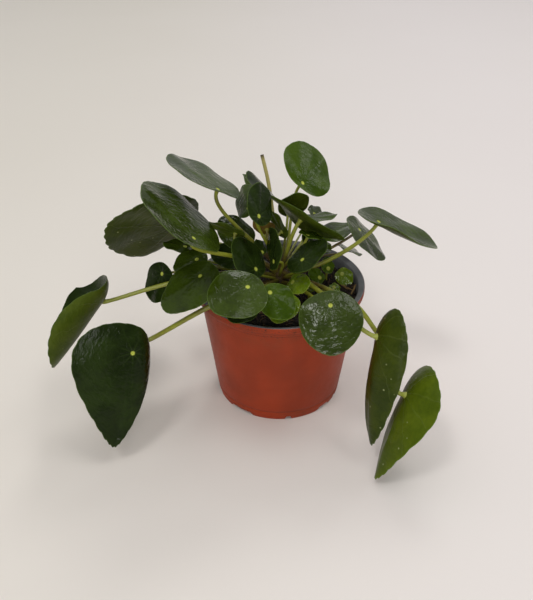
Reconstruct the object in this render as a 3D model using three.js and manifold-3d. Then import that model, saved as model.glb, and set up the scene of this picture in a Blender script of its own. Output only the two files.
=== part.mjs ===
// Potted pilea (Pilea peperomioides) in a round plastic nursery pot.
// Millimetres, +Z up. The origin is the centre of the pot's base, on the surface it stands on.
import * as THREE from 'three';
import { mergeVertices } from 'three/addons/utils/BufferGeometryUtils.js';
import Module from 'manifold-3d';

const wasm = await Module();
wasm.setup();

// Pot
const POT_HEIGHT = 90.3;
const LIP_RADIUS = 60;
const LIP_DEPTH = 4.5;
const CREST = 1;
const LEDGE_RADIUS = 55.6;
const LEDGE_FALL = 1.6;
const WALL_TOP_RADIUS = 57;
const FOOT_RADIUS = 45.8;
const FOOT_HEIGHT = 3;
const WALL = 1.2;
const FLOOR = FOOT_HEIGHT + WALL;
const INNER_FOOT_RADIUS = FOOT_RADIUS - WALL + 0.4;
const POT_SIDES = 40;
// Cuts through the foot: the turn from the front towards the right, in degrees, and the width.
const NOTCHES = [
  [8, 4], [45, 10], [64, 4], [100, 18], [143, 18], [188, 4], [225, 10], [244, 4], [280, 18], [323, 18],
];
const NOTCH_HEIGHT = 2.6;
const DRAIN_RING = 28;
const DRAIN_RADIUS = 4;
const DRAIN_COUNT = 6;
const PAD_RADIUS = 12;

// Soil and stem
const GAP = 0.3;
const SOIL_TOP = 82.5;
const SOIL_RINGS = 5;
const SOIL_RELIEF = 1.1;
const TRUNK_BOTTOM = 66;
const TRUNK_TOP = 100;
const TRUNK_RADIUS = 5;
const STUB_RADIUS = 1.4;
const STUB = [[0, 2, 90], [-4, 24, 122], [-8, 36, 149], [-12.5, 41, 167.5]];

// Blades
const BLADE_THICKNESS = 0.8;
const LARGE_BLADE = { from: 34, sectors: 18, rings: [0, 0.4, 0.75, 1] };
const SMALL_BLADE = { sectors: 13, rings: [0, 0.55, 1] };
const JOINT_RADIUS = 2.6;
const JOINT_SHARE = 0.12;
const TAPER = 0.1;
const TIP_POINT = 0.03;
const TIP_SHARPNESS = 16;
const EDGE_WAVE = 0.6;
const EDGE_WAVES = 5;

// Petioles
const PETIOLE_SIDES = 5;
const LONG_PETIOLE = 75;
const LONG_STEPS = 8;
const SHORT_STEPS = 4;
const START_SHARE = 0.4;
const REACH_SHARE = 0.3;
const LONGEST_REACH = 16;

const FINISH = {
  plastic: { colour: '#9c4630', roughness: 0.45 },
  peat: { colour: '#2b211b', roughness: 0.95 },
  leaf: { colour: '#2c4526', roughness: 0.35 },
  stem: { colour: '#8c9440', roughness: 0.5 },
  shoot: { colour: '#6f8c38', roughness: 0.4 },
};

// Each leaf. at: the petiole's joint on the upper face. face: the way the upper face looks, as a turn from
// the front towards the right and a rise. tip: the tip's turn from straight downhill. size: length and width.
// set: the joint's place along the length. shift: how far the blade lies to one side of the joint.
// taper: how much the tip half narrows. edges: how far the [tip, base, left, right] edges turn down.
// twist: how far the tip is turned about the midrib.
// stem: the petiole's root height, its first rise, its first turn aside, its radius, and how far behind
// the blade it starts to turn in. via: points that the petiole passes on its way round another leaf.
const LEAVES = {
  leaf_top_left: {
    at: [-41, 1, 160], face: [101, 60], tip: 98.5, size: [51.5, 55], set: 0.2, edges: [5, -25, -2, 5],
    taper: 0.1, shift: 7, stem: [97, 60, 0, 1.4],
  },
  leaf_left: {
    at: [-53.5, -45, 148.2], face: [92, 52], tip: 115, size: [67, 60], set: 0.18, edges: [5, -15, -5, 8],
    shift: 2.5, stem: [96, 50, 0, 1.5],
  },
  leaf_left_back: {
    at: [-74.5, 30, 119], face: [-150, 30], tip: 109, size: [70, 70], set: 0.2, edges: [0, 0, 5, 5],
    stem: [94, 45, 0, 1.4],
  },
  leaf_far_left: {
    at: [-120.9, -25, 89.3], face: [-91, 38], tip: 38, size: [73, 74], set: 0.25,
    edges: [-12, -50, -85, -50], taper: 0, shift: -6, twist: 30, stem: [92, 28, 0, 1.6, 5],
  },
  leaf_front_left: {
    at: [-95.5, -64, 74], face: [23, 20], tip: -12, size: [84, 50], set: 0.24, edges: [5, 12, 105, 5],
    taper: 0.6, shift: -10, via: [[-45, -41, 96], [-88, -42, 69]], stem: [92, 42, 0, 1.8, 12],
  },
  leaf_front_left_near: {
    at: [-53, -30, 112], face: [-53, 64], tip: 0, size: [44, 40], set: 0.27, edges: [8, 8, 8, 8],
    stem: [92, 45, 0, 1.2],
  },
  leaf_left_dome: {
    at: [-57, -8, 112], face: [-31, 63], tip: -60, size: [26, 24], set: 0.3, edges: [20, 20, 20, 20],
    stem: [92, 30, 0, 1],
  },
  leaf_left_low: {
    at: [-83, -1, 96], face: [-43, 28], tip: -12, size: [30, 27], set: 0.25, edges: [8, 8, 8, 8],
    stem: [90, 45, 0, 1, 6],
  },
  leaf_left_small: {
    at: [-67, 14, 110], face: [88, 77], tip: -170, size: [22, 17], set: 0.3, edges: [5, 5, 5, 5],
    stem: [90, 30, 0, 0.9],
  },
  leaf_front: {
    at: [-21, -53, 118], face: [23, 69], tip: -70, size: [38.5, 37], set: 0.27, edges: [8, 8, 8, 8],
    stem: [90, 30, 0, 1.2],
  },
  leaf_front_low: {
    at: [-22, -42, 97], face: [20, 69], tip: -60, size: [24, 20], set: 0.3, edges: [8, 8, 8, 8],
    stem: [88, 10, 0, 0.9],
  },
  leaf_front_bright: {
    at: [-7, -44, 108], face: [11, 53], tip: 31, size: [26, 24], set: 0.2, edges: [8, 8, 8, 8],
    stem: [88, 25, 0, 0.9],
  },
  leaf_front_under: {
    at: [4, -38, 98], face: [-41, 69], tip: 13, size: [24, 22], set: 0.25, edges: [8, 8, 8, 8],
    stem: [87, 10, 0, 0.9],
  },
  leaf_front_right: {
    at: [31, -56, 106], face: [-6, 53], tip: 5, size: [42, 41], set: 0.25, edges: [15, 15, 15, 15],
    stem: [88, 35, 0, 1.3],
  },
  leaf_right_low: {
    at: [62.5, -60, 84.2], face: [92, -12], tip: -18, size: [95, 38], set: 0.24,
    edges: [-15, -35, -42, -60], taper: 0.35, shift: -6, stem: [91, 45, 0, 1.7],
  },
  leaf_right_outer: {
    at: [80.5, -81, 53], face: [85, -24], tip: -27, size: [82, 56], set: 0.3,
    edges: [-10, -30, -45, -45], taper: 0.5, via: [[48, -37, 95], [64, -42, 76], [77, -50, 61]],
    stem: [98, 35, 0, 1.7, 5],
  },
  leaf_top_right: {
    at: [16.6, 38, 147.8], face: [54, 42], tip: 116, size: [45, 44], set: 0.12, edges: [5, 5, 5, 5],
    stem: [97, 15, 0, 1.2],
  },
  leaf_right: {
    at: [66.5, 1, 136.2], face: [90, 66], tip: -13, size: [58, 50], set: 0.27, edges: [-8, 5, 0, -40],
    stem: [92, 15, 0, 1.5],
  },
  leaf_right_back: {
    at: [57.7, 25, 117.5], face: [83, 47], tip: -15, size: [40, 36], set: 0.31, edges: [5, 5, 8, 8],
    stem: [92, 25, 0, 1.1],
  },
  leaf_back_right: {
    at: [34, 27, 112], face: [-77, 81], tip: -153, size: [30, 26], set: 0.25, edges: [5, 5, 5, 5],
    stem: [92, 40, 0, 1],
  },
  leaf_back_high: {
    at: [21, 38, 120], face: [-131, 76], tip: -141, size: [28, 22], set: 0.25, edges: [5, 5, 5, 5],
    stem: [92, 45, 0, 1],
  },
  leaf_crossing: {
    at: [14, 0, 138.5], face: [127, 45], tip: 130, size: [80, 38], set: 0.41, edges: [-12, -20, -28, 20],
    taper: 0, shift: -2, twist: -55, stem: [98, 70, 0, 1.5],
  },
  leaf_upper_centre: {
    at: [-13.8, -25.4, 153.1], face: [56, 26], tip: 134, size: [29, 24], set: 0.2, edges: [8, 8, 8, 8],
    stem: [98, 70, -15, 1.1, 8],
  },
  leaf_upper_grey: {
    at: [-22, 8, 143], face: [-67, 33], tip: -103, size: [30, 22], set: 0.2, edges: [8, 8, 8, 8],
    stem: [98, 70, 0, 1],
  },
  leaf_upper_slim: {
    at: [-14, 32, 141], face: [88, 41], tip: 152, size: [24, 16], set: 0.2, edges: [5, 5, 5, 5],
    stem: [98, 70, 0, 0.9],
  },
  leaf_upper_back: {
    at: [5.5, 29, 131.5], face: [-171, 15], tip: -134, size: [24, 20], set: 0.25, edges: [5, 5, 5, 5],
    stem: [96, 30, 0, 1, 5],
  },
  leaf_inner_left: {
    at: [-16, -28, 116], face: [59, 37], tip: 180, size: [30, 28], set: 0.2, edges: [8, 8, 8, 8],
    stem: [90, 40, 0, 1],
  },
  leaf_inner_slim: {
    at: [-5, -27, 121], face: [-68, 10], tip: -140, size: [28, 22], set: 0.2, edges: [5, 5, 20, 20],
    stem: [92, 50, 0, 1],
  },
  leaf_inner_dark: {
    at: [-12, -11, 119], face: [54, 33], tip: 177, size: [12, 10], set: 0.2, edges: [8, 8, 8, 8],
    stem: [92, 60, 0, 0.9],
  },
  leaf_inner_pointed: {
    at: [14, -24, 121], face: [-71, 56], tip: -177, size: [31, 25], set: 0.36, edges: [5, 5, 5, 5],
    stem: [90, 50, 0, 1],
  },
  leaf_inner_yellow: {
    at: [8, -23, 103], face: [-66, 49], tip: 110, size: [20, 16], set: 0.2, edges: [5, 5, 5, 5],
    stem: [88, 30, 0, 0.8],
  },
  leaf_inner_glossy: {
    at: [-26, 6, 120], face: [38, 54], tip: -175, size: [30, 27], set: 0.25, edges: [15, 15, 15, 15],
    stem: [92, 50, 0, 1],
  },
  leaf_inner_shade: {
    at: [-30, -5, 131], face: [159, 38], tip: 120, size: [26, 20], set: 0.25, edges: [5, 5, 5, 5],
    stem: [94, 60, 0, 1],
  },
  leaf_inner_low: {
    at: [-30, -6, 112], face: [20, 60], tip: -120, size: [24, 20], set: 0.25, edges: [5, 5, 5, 5],
    stem: [88, 40, 0, 0.9],
  },
  leaf_inner_striped: {
    at: [18.5, -8.1, 130.7], face: [126, 70], tip: 19, size: [19, 16], set: 0.25, edges: [5, 5, 5, 5],
    stem: [94, 75, 0, 1],
  },
  leaf_inner_sheen: {
    at: [21.7, 0.5, 119.9], face: [88, 65], tip: 42, size: [25, 22], set: 0.25, edges: [5, 5, 5, 5],
    stem: [92, 55, 0, 1],
  },
  leaf_rear_thin: {
    at: [52, 38, 94], face: [124, 62], tip: 30, size: [26, 20], set: 0.25, edges: [5, 5, 5, 5],
    stem: [90, 42, 0, 0.9, 4],
  },
  leaf_rear_pale: {
    at: [27, 54, 116], face: [70, 63], tip: 91, size: [16, 13], set: 0.25, edges: [5, 5, 5, 5],
    stem: [90, 50, 0, 0.8],
  },
  leaf_old_yellow: {
    at: [-9, 2, 130], face: [-180, 22], tip: 147, size: [18, 14], set: 0.25, edges: [10, 10, 10, 10],
    stem: [94, 70, 0, 0.9],
  },
  leaf_inner_back: {
    at: [2, 4, 127], face: [126, 10], tip: 137, size: [22, 16], set: 0.25, edges: [5, 5, 5, 5],
    stem: [94, 70, 0, 0.9],
  },
};

// Young shoots beside the crown: a stem straight out of the soil and one small leaf.
const PUP_BOTTOM = 72;
const PUPS = {
  pup_bright: {
    at: [45, 9, 90], face: [-7, 49], tip: 45, size: [14, 13], set: 0.3, edges: [15, 15, 15, 15],
    stem: 0.8,
  },
  pup_glossy: {
    at: [35, 8, 95], face: [24, 36], tip: 173, size: [12, 10], set: 0.3, edges: [15, 15, 15, 15],
    stem: 0.8,
  },
  pup_dark: {
    at: [28, -6, 96], face: [37, 42], tip: -138, size: [13, 11], set: 0.3, edges: [8, 8, 8, 8],
    stem: 0.8,
  },
  pup_low_left: {
    at: [30, -14, 90], face: [-5, 65], tip: 0, size: [9, 8], set: 0.35, edges: [8, 8, 8, 8], stem: 0.7,
  },
  pup_low_right: {
    at: [38, -7, 89], face: [-7, 65], tip: 25, size: [9, 8], set: 0.35, edges: [8, 8, 8, 8], stem: 0.7,
  },
  pup_yellow: {
    at: [18, -11, 92], face: [-71, 41], tip: 109, size: [12, 10], set: 0.25, edges: [8, 8, 8, 8],
    stem: 0.8,
  },
};

function radians(degrees) {
  return degrees * Math.PI / 180;
}

function leafAxes(leaf) {
  const turn = radians(leaf.face[0]);
  const rise = radians(leaf.face[1]);
  const normal = new THREE.Vector3(
    Math.sin(turn) * Math.cos(rise), -Math.cos(turn) * Math.cos(rise), Math.sin(rise));
  const downhill = new THREE.Vector3(
    Math.sin(turn) * Math.sin(rise), -Math.cos(turn) * Math.sin(rise), -Math.cos(rise));
  const along = downhill.applyAxisAngle(normal, radians(leaf.tip));
  const across = new THREE.Vector3().crossVectors(normal, along);
  return { normal, along, across };
}

// Turns a flat distance into a bent one: the sheet leaves the joint level and turns evenly.
function bend(distance, reach, lift, degrees) {
  const total = radians(degrees);
  if (Math.abs(total) < 0.01) {
    return [distance, lift];
  }
  const radius = reach / total;
  const angle = distance / radius;
  return [(radius + lift) * Math.sin(angle), (radius + lift) * Math.cos(angle) - radius];
}

function outline(leaf, turn) {
  const [length, width] = leaf.size;
  const taper = leaf.taper ?? TAPER;
  const centre = length * (0.5 - leaf.set);
  const apex = TIP_POINT * Math.max(0, Math.cos(turn)) ** TIP_SHARPNESS;
  const x = centre + length / 2 * (Math.cos(turn) + apex);
  const y = width / 2 * Math.sin(turn) * (1 - taper * Math.cos(turn)) + (leaf.shift ?? 0);
  return [x, y];
}

function bladePoint(leaf, axes, turn, ring) {
  const [length, width] = leaf.size;
  const [tipBend, baseBend, leftBend, rightBend] = leaf.edges;
  const edge = outline(leaf, turn);
  const span = Math.hypot(edge[0], edge[1]);
  const share = ring === 0 ? Math.min(JOINT_RADIUS, JOINT_SHARE * length) / span : ring;
  const x = edge[0] * share;
  const y = edge[1] * share;
  const wave = EDGE_WAVE * share * share * Math.sin(EDGE_WAVES * turn + leaf.at[0]);
  const side = bend(Math.abs(y), width / 2, wave, y > 0 ? leftBend : rightBend);
  const reach = x > 0 ? length * (1 - leaf.set) : length * leaf.set;
  const run = bend(Math.abs(x), reach, side[1], x > 0 ? tipBend : baseBend);
  const roll = radians(leaf.twist ?? 0) * Math.max(x, 0) / length;
  const aside = Math.sign(y) * side[0];
  const point = new THREE.Vector3(...leaf.at);
  point.addScaledVector(axes.along, Math.sign(x) * run[0]);
  point.addScaledVector(axes.across, aside * Math.cos(roll) - run[1] * Math.sin(roll));
  point.addScaledVector(axes.normal, aside * Math.sin(roll) + run[1] * Math.cos(roll));
  return point;
}

function bladeRings(leaf) {
  return leaf.size[0] > LARGE_BLADE.from ? LARGE_BLADE : SMALL_BLADE;
}

function sheetTriangles(sectors, rings) {
  const triangles = [];
  for (let sector = 0; sector < sectors; sector += 1) {
    const next = (sector + 1) % sectors;
    triangles.push([0, 1 + sector, 1 + next]);
    for (let ring = 1; ring < rings; ring += 1) {
      const inner = 1 + (ring - 1) * sectors;
      const outer = inner + sectors;
      triangles.push([inner + sector, outer + sector, outer + next]);
      triangles.push([inner + sector, outer + next, inner + next]);
    }
  }
  return triangles;
}

function sheetNormals(points, triangles) {
  const normals = points.map(() => new THREE.Vector3());
  for (const [a, b, c] of triangles) {
    const ab = points[b].clone().sub(points[a]);
    const ac = points[c].clone().sub(points[a]);
    const face = ab.cross(ac).normalize();
    normals[a].add(face);
    normals[b].add(face);
    normals[c].add(face);
  }
  return normals.map((normal) => normal.normalize());
}

function blade(leaf) {
  const axes = leafAxes(leaf);
  const { sectors, rings } = bladeRings(leaf);
  const top = [new THREE.Vector3(...leaf.at)];
  for (const ring of rings) {
    for (let sector = 0; sector < sectors; sector += 1) {
      top.push(bladePoint(leaf, axes, 2 * Math.PI * sector / sectors, ring));
    }
  }
  const triangles = sheetTriangles(sectors, rings.length);
  const normals = sheetNormals(top, triangles);
  const bottom = top.map((point, i) => point.clone().addScaledVector(normals[i], -BLADE_THICKNESS));
  const count = top.length;
  const faces = triangles.flatMap(([a, b, c]) => [a, b, c, count + a, count + c, count + b]);
  const edge = count - sectors;
  for (let sector = 0; sector < sectors; sector += 1) {
    const here = edge + sector;
    const next = edge + (sector + 1) % sectors;
    faces.push(here, count + here, count + next, here, count + next, next);
  }
  const geometry = new THREE.BufferGeometry();
  geometry.setFromPoints([...top, ...bottom]);
  geometry.setIndex(faces);
  return geometry;
}

function solid(geometry) {
  const bare = geometry.index ? geometry.toNonIndexed() : geometry.clone();
  bare.deleteAttribute('normal');
  bare.deleteAttribute('uv');
  const merged = mergeVertices(bare, 1e-4);
  return new wasm.Manifold(new wasm.Mesh({
    numProp: 3,
    vertProperties: new Float32Array(merged.attributes.position.array),
    triVerts: new Uint32Array(merged.index.array),
  }));
}

function geometryOf(body) {
  const mesh = body.getMesh();
  const geometry = new THREE.BufferGeometry();
  geometry.setAttribute('position', new THREE.BufferAttribute(new Float32Array(mesh.vertProperties), 3));
  geometry.setIndex(new THREE.BufferAttribute(new Uint32Array(mesh.triVerts), 1));
  return geometry;
}

function tube(curve, radius, steps) {
  const section = new THREE.Shape();
  for (let side = 0; side < PETIOLE_SIDES; side += 1) {
    const turn = 2 * Math.PI * side / PETIOLE_SIDES;
    const x = radius * Math.cos(turn);
    const y = radius * Math.sin(turn);
    if (side === 0) {
      section.moveTo(x, y);
    } else {
      section.lineTo(x, y);
    }
  }
  section.closePath();
  return new THREE.ExtrudeGeometry(section, { steps, bevelEnabled: false, extrudePath: curve });
}

function petioleRoute(leaf) {
  const { normal } = leafAxes(leaf);
  const [height, rise, aside, , reach] = leaf.stem;
  const joint = new THREE.Vector3(...leaf.at).addScaledVector(normal, -(BLADE_THICKNESS + GAP));
  const root = new THREE.Vector3(0, 0, height);
  const distance = joint.distanceTo(root);
  const heading = Math.atan2(joint.y, joint.x) + radians(aside);
  const start = new THREE.Vector3(
    Math.cos(heading) * Math.cos(radians(rise)),
    Math.sin(heading) * Math.cos(radians(rise)),
    Math.sin(radians(rise)));
  const behind = reach ?? Math.min(REACH_SHARE * distance, LONGEST_REACH);
  const before = joint.clone().addScaledVector(normal, -behind);
  if (leaf.via) {
    const stops = leaf.via.map((point) => new THREE.Vector3(...point));
    return new THREE.CatmullRomCurve3([root, ...stops, before, joint]);
  }
  const after = root.clone().addScaledVector(start, START_SHARE * distance);
  return new THREE.CubicBezierCurve3(root, after, before, joint);
}

function crown() {
  let body = solid(lathe([
    [0, TRUNK_BOTTOM],
    [TRUNK_RADIUS - 1, TRUNK_BOTTOM],
    [TRUNK_RADIUS, SOIL_TOP],
    [TRUNK_RADIUS - 1, TRUNK_TOP - 2],
    [0, TRUNK_TOP],
  ], 10));
  for (const leaf of Object.values(LEAVES)) {
    const route = petioleRoute(leaf);
    const steps = route.getLength() > LONG_PETIOLE ? LONG_STEPS : SHORT_STEPS;
    body = body.add(solid(tube(route, leaf.stem[3], steps)));
  }
  const stub = new THREE.CatmullRomCurve3(STUB.map((point) => new THREE.Vector3(...point)));
  return geometryOf(body.add(solid(tube(stub, STUB_RADIUS, SHORT_STEPS))));
}

function lathe(points, sides) {
  return new THREE.LatheGeometry(points.map(([x, y]) => new THREE.Vector2(x, y)), sides).rotateX(Math.PI / 2);
}

function pot() {
  let body = solid(lathe([
    [0, 0],
    [PAD_RADIUS, 0],
    [PAD_RADIUS + 1, FOOT_HEIGHT],
    [FOOT_RADIUS - 4, FOOT_HEIGHT],
    [FOOT_RADIUS - 3.2, 0],
    [FOOT_RADIUS, 0],
    [WALL_TOP_RADIUS, POT_HEIGHT - LIP_DEPTH - 0.4],
    [LIP_RADIUS, POT_HEIGHT - LIP_DEPTH],
    [LIP_RADIUS, POT_HEIGHT],
    [LIP_RADIUS - CREST, POT_HEIGHT],
    [LEDGE_RADIUS, POT_HEIGHT - LEDGE_FALL],
    [WALL_TOP_RADIUS - WALL, POT_HEIGHT - LIP_DEPTH - 0.4],
    [INNER_FOOT_RADIUS, FLOOR],
    [0, FLOOR],
  ], POT_SIDES));
  for (const [turn, width] of NOTCHES) {
    const cut = new THREE.BoxGeometry(width, 9, 2 * NOTCH_HEIGHT);
    cut.translate(0, -FOOT_RADIUS, 0);
    cut.rotateZ(radians(turn));
    body = body.subtract(solid(cut));
  }
  for (let i = 0; i < DRAIN_COUNT; i += 1) {
    const cut = new THREE.CylinderGeometry(DRAIN_RADIUS, DRAIN_RADIUS, 4 * FOOT_HEIGHT, 12);
    cut.rotateX(Math.PI / 2);
    cut.translate(DRAIN_RING, 0, 0);
    cut.rotateZ(2 * Math.PI * i / DRAIN_COUNT);
    body = body.subtract(solid(cut));
  }
  return geometryOf(body);
}

function soil() {
  const wallSlope = (WALL_TOP_RADIUS - WALL - INNER_FOOT_RADIUS) / (POT_HEIGHT - LIP_DEPTH - FLOOR);
  const side = INNER_FOOT_RADIUS - GAP;
  const edge = side + wallSlope * (SOIL_TOP - 2 - FLOOR) - 0.1;
  const profile = [[0, FLOOR + GAP], [side, FLOOR + GAP], [edge, SOIL_TOP - 2]];
  for (let ring = SOIL_RINGS; ring > 0; ring -= 1) {
    profile.push([edge * ring / (SOIL_RINGS + 1), SOIL_TOP]);
  }
  profile.push([0, SOIL_TOP]);
  const geometry = lathe(profile, 24);
  const position = geometry.attributes.position;
  for (let i = 0; i < position.count; i += 1) {
    const x = position.getX(i);
    const y = position.getY(i);
    if (position.getZ(i) > SOIL_TOP - 1) {
      position.setZ(i, SOIL_TOP + SOIL_RELIEF * Math.sin(0.31 * x + 1) * Math.cos(0.27 * y + 0.4));
    }
  }
  let body = solid(geometry).subtract(solid(hole(0, 0, TRUNK_RADIUS, TRUNK_BOTTOM)));
  for (const leaf of Object.values(PUPS)) {
    const { before } = pupRoute(leaf);
    body = body.subtract(solid(hole(before.x, before.y, leaf.stem, PUP_BOTTOM)));
  }
  return geometryOf(body);
}

// A plain round hole for a stem, open at the top.
function hole(x, y, radius, bottom) {
  const cut = new THREE.CylinderGeometry(radius + GAP, radius + GAP, 40, 10).rotateX(Math.PI / 2);
  return cut.translate(x, y, bottom - GAP + 20);
}

function pupRoute(leaf) {
  const { normal } = leafAxes(leaf);
  const joint = new THREE.Vector3(...leaf.at).addScaledVector(normal, -BLADE_THICKNESS / 2);
  const before = joint.clone().addScaledVector(normal, -3);
  return { joint, before };
}

function pup(leaf) {
  const { joint, before } = pupRoute(leaf);
  const root = new THREE.Vector3(before.x, before.y, PUP_BOTTOM);
  const above = new THREE.Vector3(before.x, before.y, before.z - 2);
  const stem = tube(new THREE.CubicBezierCurve3(root, above, before, joint), leaf.stem, 5);
  return geometryOf(solid(stem).add(solid(blade(leaf))));
}

const group = new THREE.Group();

function addNode(name, geometry, { colour, roughness }) {
  const material = new THREE.MeshStandardMaterial({ color: colour, roughness, metalness: 0 });
  const mesh = new THREE.Mesh(geometry, material);
  mesh.name = name;
  group.add(mesh);
}

addNode('pot', pot(), FINISH.plastic);
addNode('soil', soil(), FINISH.peat);
for (const [name, leaf] of Object.entries(LEAVES)) {
  addNode(name, blade(leaf), FINISH.leaf);
}
addNode('crown', crown(), FINISH.stem);
for (const [name, leaf] of Object.entries(PUPS)) {
  addNode(name, pup(leaf), FINISH.shoot);
}

export default group;
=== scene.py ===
"""Potted pilea: the looks of the plant, its soil and its nursery pot.

Blender works in metres, +Z up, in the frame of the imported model. The tables below are in millimetres and
degrees unless they say otherwise.
"""

import math

import bpy
import numpy as np
from bpy.props import FloatProperty, FloatVectorProperty, IntProperty, PointerProperty
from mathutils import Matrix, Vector, noise


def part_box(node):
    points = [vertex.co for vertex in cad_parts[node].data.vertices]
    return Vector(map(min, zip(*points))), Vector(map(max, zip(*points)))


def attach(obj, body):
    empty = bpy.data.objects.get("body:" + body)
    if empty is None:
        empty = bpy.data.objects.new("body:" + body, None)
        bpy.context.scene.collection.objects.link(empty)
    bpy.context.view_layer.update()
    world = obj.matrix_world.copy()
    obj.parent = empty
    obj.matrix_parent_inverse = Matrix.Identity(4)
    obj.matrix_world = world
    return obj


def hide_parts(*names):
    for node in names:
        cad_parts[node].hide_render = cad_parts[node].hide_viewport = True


bl_info = {
    "name": "Potted pilea",
    "version": (1, 0, 0),
    "blender": (4, 5, 0),
    "location": "View3D > Sidebar > Pilea",
    "description": "Grows a pilea with its petioles, blades, shoots, soil and nursery pot",
    "category": "Add Mesh",
}

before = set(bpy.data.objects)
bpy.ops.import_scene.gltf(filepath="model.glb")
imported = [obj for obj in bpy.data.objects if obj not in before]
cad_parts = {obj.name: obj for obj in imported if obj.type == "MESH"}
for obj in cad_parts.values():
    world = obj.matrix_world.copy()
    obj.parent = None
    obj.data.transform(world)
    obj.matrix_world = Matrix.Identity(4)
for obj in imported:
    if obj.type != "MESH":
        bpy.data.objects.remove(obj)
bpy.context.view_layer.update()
MM = 0.001

# Pot
POT_HEIGHT = 90.3
LIP_RADIUS = 60.0
LIP_DEPTH = 4.5
WALL_TOP = POT_HEIGHT - LIP_DEPTH
WALL_TOP_RADIUS = 57.0
FOOT_RADIUS = 45.8
FOOT_HEIGHT = 3.0
FOOT_WIDTH = 4.5
FOOT_STEP = 6.6
WALL = 1.2
FLOOR = FOOT_HEIGHT + WALL
INNER_TOP_RADIUS = WALL_TOP_RADIUS - WALL
INNER_FOOT_RADIUS = FOOT_RADIUS - WALL + 0.4
PAD_RADIUS = 12.0
DRAIN_RING = 28.0
DRAIN_RADIUS = 4.0
DRAIN_COUNT = 6
# Notches in the foot: the turn in degrees and the width
NOTCHES = (
    (8, 4), (45, 10), (64, 4), (100, 18), (143, 18), (188, 4), (225, 10), (244, 4), (280, 18), (323, 18),
)
NOTCH_HEIGHT = 2.6
# Fine dark lines round the outside, painted shade along its fine grooves: heights and half width, in metres
GROOVE_SHADE_LINES = (0.0078, 0.0812, 0.0832)
GROOVE_SHADE_WIDTH = 0.0005

# Soil and crown
SOIL_TOP = 82.5
SOIL_RELIEF = 1.1
SOIL_RADIUS = 54.9
CRUMB_RADIUS = LIP_RADIUS - 7.5
FIBRE_RADIUS = 54
FIBRE_POINTS = 7
FIBRE_SEED = 5
TRUNK = ((66, 4.0), (82.5, 5.0), (90, 4.9), (98, 4.1), (100, 2.4))
STUB = ((0, 2, 90), (-4, 24, 122), (-8, 36, 149), (-12.5, 41, 167.5))
STUB_RADIUS = 1.4
# Bark chips and twigs that stand out on the soil: two ends and a thickness
CHIPS = (
    ((38, -20, 84.4), (51, -21, 85.2), 1.5),
    ((50, -10, 84.5), (54, -2, 87.5), 0.7),
    ((44, 2, 84.6), (51, -5, 84.8), 0.5),
)

# Blades: the usual taper, how far the tip stands out as a share of half the length and how narrow it is,
# the height and number of the waves of the edge, the depth and number of its usual scallops, the length from
# which a blade gets a finer mesh, one unit of the UV map, and how far a blade may stray from its CAD node
TAPER = 0.1
TIP_POINT = 0.03
TIP_SHARPNESS = 16
EDGE_WAVE = 0.6
EDGE_WAVES = 5
NICKS = 0.005
NICK_COUNT = 23
LARGE_FROM = 34
UV_MM = 100
MOST_STRAY = 6.0

# Petioles: how far behind the upper face they end, the share of their length that they start straight for,
# the share and the most of it that they come in square to the blade for, and a shoot's lower end
JOINT_BACK = 1.1
START_SHARE = 0.4
REACH_SHARE = 0.3
LONGEST_REACH = 16
PUP_BOTTOM = 72

# Stage, in metres
FLOOR_HALF = 4
LAMP_AIM = (0, 0, 0.08)
LAMP_COLOUR = (1.0, 0.99, 0.97)
# Name, place and size of each lamp, and its share of the power
LAMPS = (
    ("Left lamp", (-0.75, -0.95, 2.4), 0.5, 0.28),
    ("Right lamp", (0.93, -0.25, 2.4), 0.9, 0.22),
    ("Back lamp", (0.35, 1.9, 2.4), 0.8, 0.3),
    ("Side lamp", (1.85, 1.15, 1.05), 0.35, 0.04),
    ("Front lamp", (-0.05, -2.2, 1.05), 0.9, 0.4),
)
# The room is brightest one way, and its dim side has a share of that
ROOM_COLOUR = (1.0, 0.99, 0.99, 1.0)
ROOM_BRIGHT_WAY = (0.0, 0.6, 0.8)
ROOM_DIM = 0.28
CAMERA_PLACE = (-0.0093, -0.4267, 0.3526)
CAMERA_AIM = (-0.0093, 0.0, 0.0733)


def leaf_at(at, face, tip, size, place, edges, stem, look, **more):
    """One leaf.

    at: the petiole's joint on the upper face. face: the way the upper face looks, as a turn from the front
    towards the right and a rise. tip: the tip's turn from straight downhill. size: length and width. place:
    the joint's place along the length. edges: how far the tip, base, left and right edges turn down, or one
    number for all four. stem: the petiole's root height, first rise and radius, or a shoot's radius alone.
    look: the finish. More, where a leaf has it: aside, the petiole's first turn aside; reach, how far behind
    the blade it starts to turn in; via, points it passes; brown, how brown it is; shift, how far the blade
    lies to one side of the joint; taper, how much its tip half narrows; twist, how far it winds towards the
    tip; nicks, the depth of its scallops.
    """
    at = np.array(at, float)
    edges = edges if isinstance(edges, tuple) else (edges,) * 4
    return dict(at=at, face=face, tip=tip, size=size, place=place, edges=edges, stem=stem, look=look, **more)


# Leaves deep in the crown and leaves turned from the light take the darkest finish, whose colours are painted
# shade on the upper face and painted light on the under face.
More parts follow.
